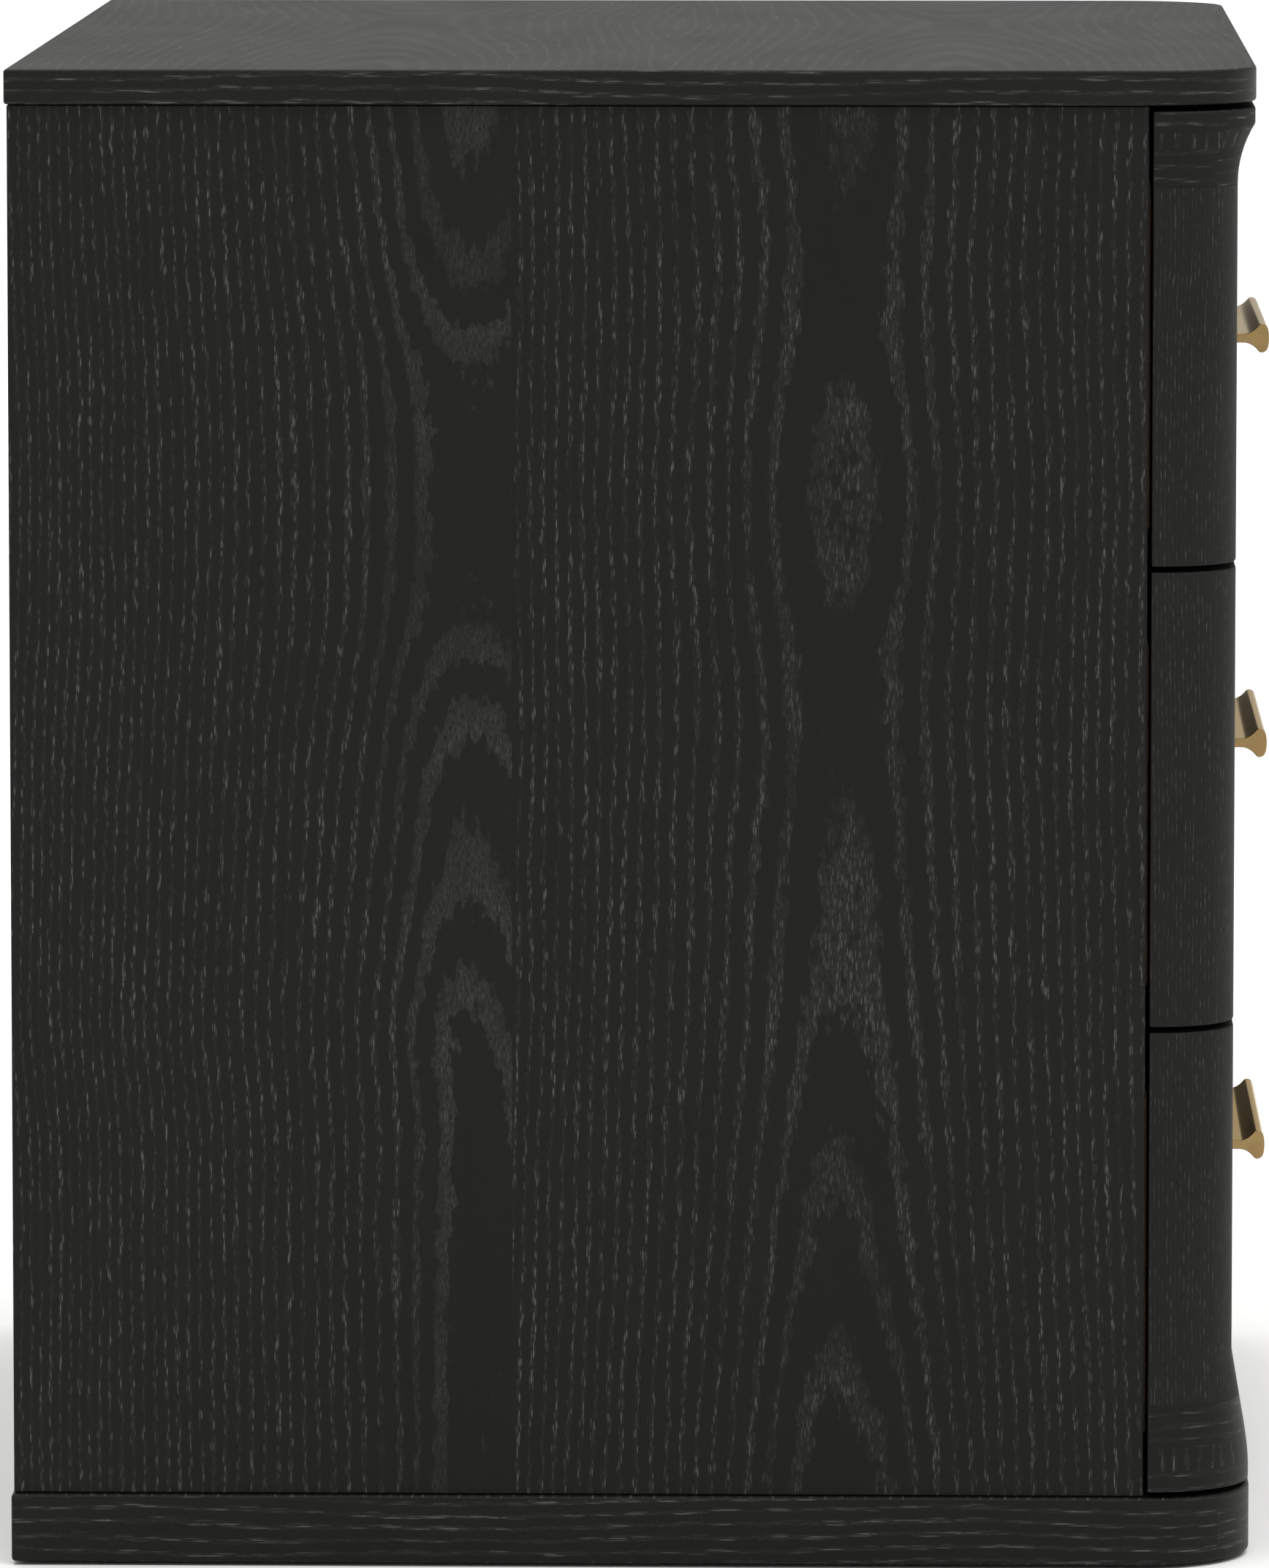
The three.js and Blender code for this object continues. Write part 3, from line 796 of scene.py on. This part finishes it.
def screw_back_panel():
    """Screws all round the edge of the back panel."""
    low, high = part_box("back_panel")
    edge = BACK_SCREW_EDGE * MM
    heights = spread(low.z, high.z, edge, BACK_SCREW_ROWS)
    columns = spread(low.x, high.x, edge, BACK_SCREW_COLUMNS)
    places = [(x, high.y, z) for x in (columns[0], columns[-1]) for z in heights]
    places += [(x, high.y, z) for x in columns[1:-1] for z in (heights[0], heights[-1])]
    screws("back_panel_screws", "carcass", places, (0, 1, 0), **BACK_SCREW)


def screw_pull(name):
    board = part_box(f"{name}_drawer_box_front")[1].y
    low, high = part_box(f"{name}_pull")
    middle = (low.z + high.z) / 2
    places = [(side * PULL_SCREW_SPACING / 2 * MM, board, middle) for side in (-1, 1)]
    screws(f"{name}_pull_screws", f"{name}_drawer", places, (0, 1, 0), **PULL_SCREW)


def screw_slide(name, side):
    """The screws through the two fixed members: three to the drawer box, three to the case."""
    out = {"left": -1, "right": 1}[side]
    for member, body, points in (("drawer_member", f"{name}_drawer", out),
                                 ("cabinet_member", "carcass", -out)):
        low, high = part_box(f"{name}_slide_{side}_{member}")
        web = (low.x if points > 0 else high.x) + points * SLIDE_SHEET * MM
        middle = (low.z + high.z) / 2
        places = [(web, low.y + share * (high.y - low.y), middle) for share in SLIDE_SCREW_SHARES]
        screws(f"{name}_{side}_{member}_screws", body, places, (points, 0, 0),
               SLIDE_SCREW_RADIUS, SLIDE_SCREW_HEIGHT[member])


def build_drawer(name):
    glued = {"top": looks_up, "middle": nowhere, "bottom": looks_down}[name]
    refine(f"{name}_drawer_front", f"veneered_{name}_front",
           all_faces(FRONT_OAK), UPRIGHT, ARRIS["front"], seam=glued, seam_arris=ARRIS["glued"])
    build_pull(name)
    screw_pull(name)
    for board in ("left", "right"):
        refine(f"{name}_drawer_box_{board}", f"birch_{name}_{board}",
               all_faces(BIRCH), BACKWARD, ARRIS["box_side"])
    for board in ("front", "back", "bottom"):
        refine(f"{name}_drawer_box_{board}", f"birch_{name}_{board}",
               all_faces(BIRCH), LEVEL, ARRIS["box_board"])
    for side in SIDES:
        for member in ("cabinet_member", "middle_member", "drawer_member"):
            refine(f"{name}_slide_{side}_{member}", f"zinc_{name}_{side}_{member}",
                   all_faces(ZINC), BACKWARD, ARRIS["slide"])
        screw_slide(name, side)


build_case()
screw_back_panel()
for drawer in DRAWERS:
    build_drawer(drawer)
refine("crown_moulding", "coved_crown", all_faces(CROWN_OAK), LEVEL,
       ARRIS["front"], seam=looks_down, seam_arris=ARRIS["glued"])
refine("base_moulding", "flared_base", all_faces(BASE_OAK), LEVEL,
       ARRIS["front"], seam=looks_up, seam_arris=ARRIS["glued"])


# ---------------------------------------------------------------- stage, light and camera


# The floor reaches this far each way, in metres, so its edge is out of sight.
FLOOR_REACH = 14.0
FLOOR_COLOUR = (0.90, 0.90, 0.90, 1.0)
BACKGROUND_COLOUR = (1.0, 1.0, 1.0, 1.0)
ROOM_COLOUR = (1.0, 1.0, 0.96, 1.0)
ROOM_STRENGTH = 0.60
SOFTBOX_TOWARD = (0.10, 0.12, -1.0)
SOFTBOX_SPREAD = math.radians(80.0)
SOFTBOX_STRENGTH = 2.5

# The camera looks along +X, turned by its heading towards +Y.
CAMERA_LENS = 275.0
CAMERA_CLIP = 200.0
CAMERA_PLACE = (-5.0806, BACK - 0.3646, 0.8412)
CAMERA_HEADING = math.radians(1.359)
CAMERA_DOWN = math.radians(6.266)


def build_floor():
    shape = bmesh.new()
    bmesh.ops.create_grid(shape, x_segments=1, y_segments=1, size=FLOOR_REACH)
    mesh = bpy.data.meshes.new("floor")
    shape.to_mesh(mesh)
    shape.free()
    surface = Surface("pale_floor", Base_Color=FLOOR_COLOUR, Roughness=0.9, Specular_IOR_Level=0.0)
    mesh.materials.append(surface.material)
    floor = bpy.data.objects.new("floor", mesh)
    bpy.context.scene.collection.objects.link(floor)


def build_world():
    """White behind the object, and a soft grey that lights it."""
    world = bpy.data.worlds.new("studio")
    world.use_nodes = True
    tree = world.node_tree
    seen = tree.nodes.new("ShaderNodeBackground")
    seen.inputs["Color"].default_value = BACKGROUND_COLOUR
    light = tree.nodes["Background"]
    light.inputs["Color"].default_value = ROOM_COLOUR
    light.inputs["Strength"].default_value = ROOM_STRENGTH
    path = tree.nodes.new("ShaderNodeLightPath")
    mix = tree.nodes.new("ShaderNodeMixShader")
    tree.links.new(path.outputs["Is Camera Ray"], mix.inputs[0])
    tree.links.new(light.outputs[0], mix.inputs[1])
    tree.links.new(seen.outputs[0], mix.inputs[2])
    tree.links.new(mix.outputs[0], tree.nodes["World Output"].inputs["Surface"])
    bpy.context.scene.world = world


def build_softbox():
    """A lamp far overhead, as wide as its spread, so it lights the whole floor evenly."""
    light = bpy.data.lights.new("overhead_softbox", "SUN")
    light.angle = SOFTBOX_SPREAD
    light.energy = SOFTBOX_STRENGTH
    lamp = bpy.data.objects.new("overhead_softbox", light)
    lamp.rotation_mode = "QUATERNION"
    lamp.rotation_quaternion = Vector(SOFTBOX_TOWARD).to_track_quat("-Z", "Y")
    bpy.context.scene.collection.objects.link(lamp)


def build_camera():
    """A long lens at the left of the nightstand, looking a little down."""
    camera = bpy.data.cameras.new("camera")
    camera.lens = CAMERA_LENS
    camera.clip_end = CAMERA_CLIP
    holder = bpy.data.objects.new("camera", camera)
    holder.location = CAMERA_PLACE
    ahead = Vector((math.cos(CAMERA_HEADING) * math.cos(CAMERA_DOWN),
                    math.sin(CAMERA_HEADING) * math.cos(CAMERA_DOWN),
                    -math.sin(CAMERA_DOWN)))
    right = ahead.cross(Vector((0.0, 0.0, 1.0))).normalized()
    up = right.cross(ahead)
    holder.rotation_mode = "QUATERNION"
    holder.rotation_quaternion = Matrix((right, up, -ahead)).transposed().to_quaternion()
    bpy.context.scene.collection.objects.link(holder)
    bpy.context.scene.camera = holder


build_floor()
build_world()
build_softbox()
build_camera()
bpy.context.scene.view_settings.view_transform = "Standard"
